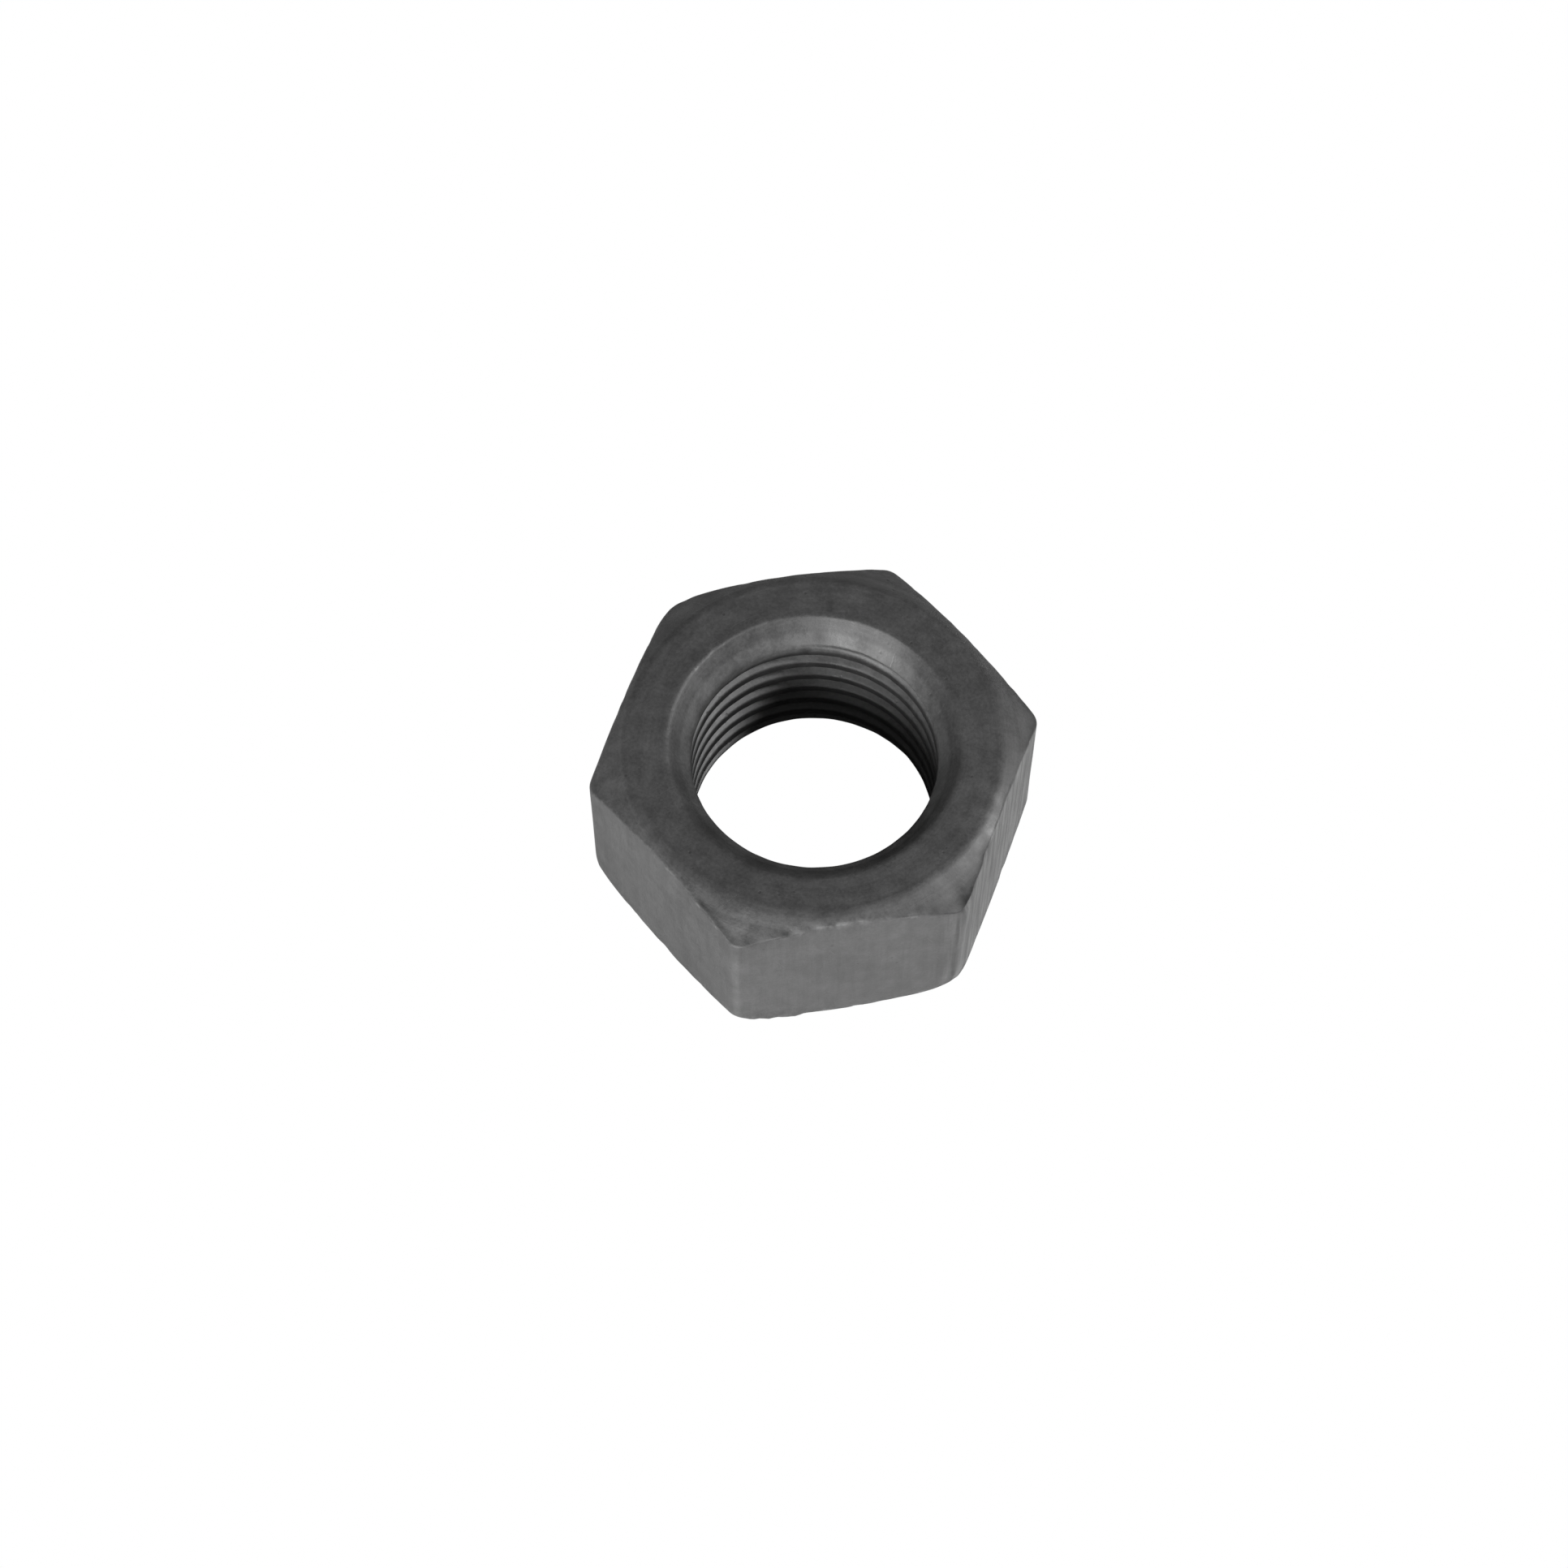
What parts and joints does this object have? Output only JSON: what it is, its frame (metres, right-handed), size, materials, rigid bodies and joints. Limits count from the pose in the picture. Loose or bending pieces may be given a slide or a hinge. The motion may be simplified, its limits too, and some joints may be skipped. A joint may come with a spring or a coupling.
{
  "type": "hex nut",
  "caption": "Plain hexagon nut with a fine metric thread, chamfered on both bearing faces and countersunk at both ends of the bore.",
  "frame": {"origin": "on the thread's axis, at the lower bearing face", "axes": "+Z along the thread's axis, out of the upper bearing face; +X is the outward normal of one wrench flat, so a vertical corner lies on +Y"},
  "size_m": [0.0236, 0.027, 0.0126],
  "materials": {
    "dark_steel": "plain matte dark oxide on forged and turned steel"
  },
  "bodies": {
    "root": {"hex_nut": "dark_steel"}
  },
  "joints": []
}
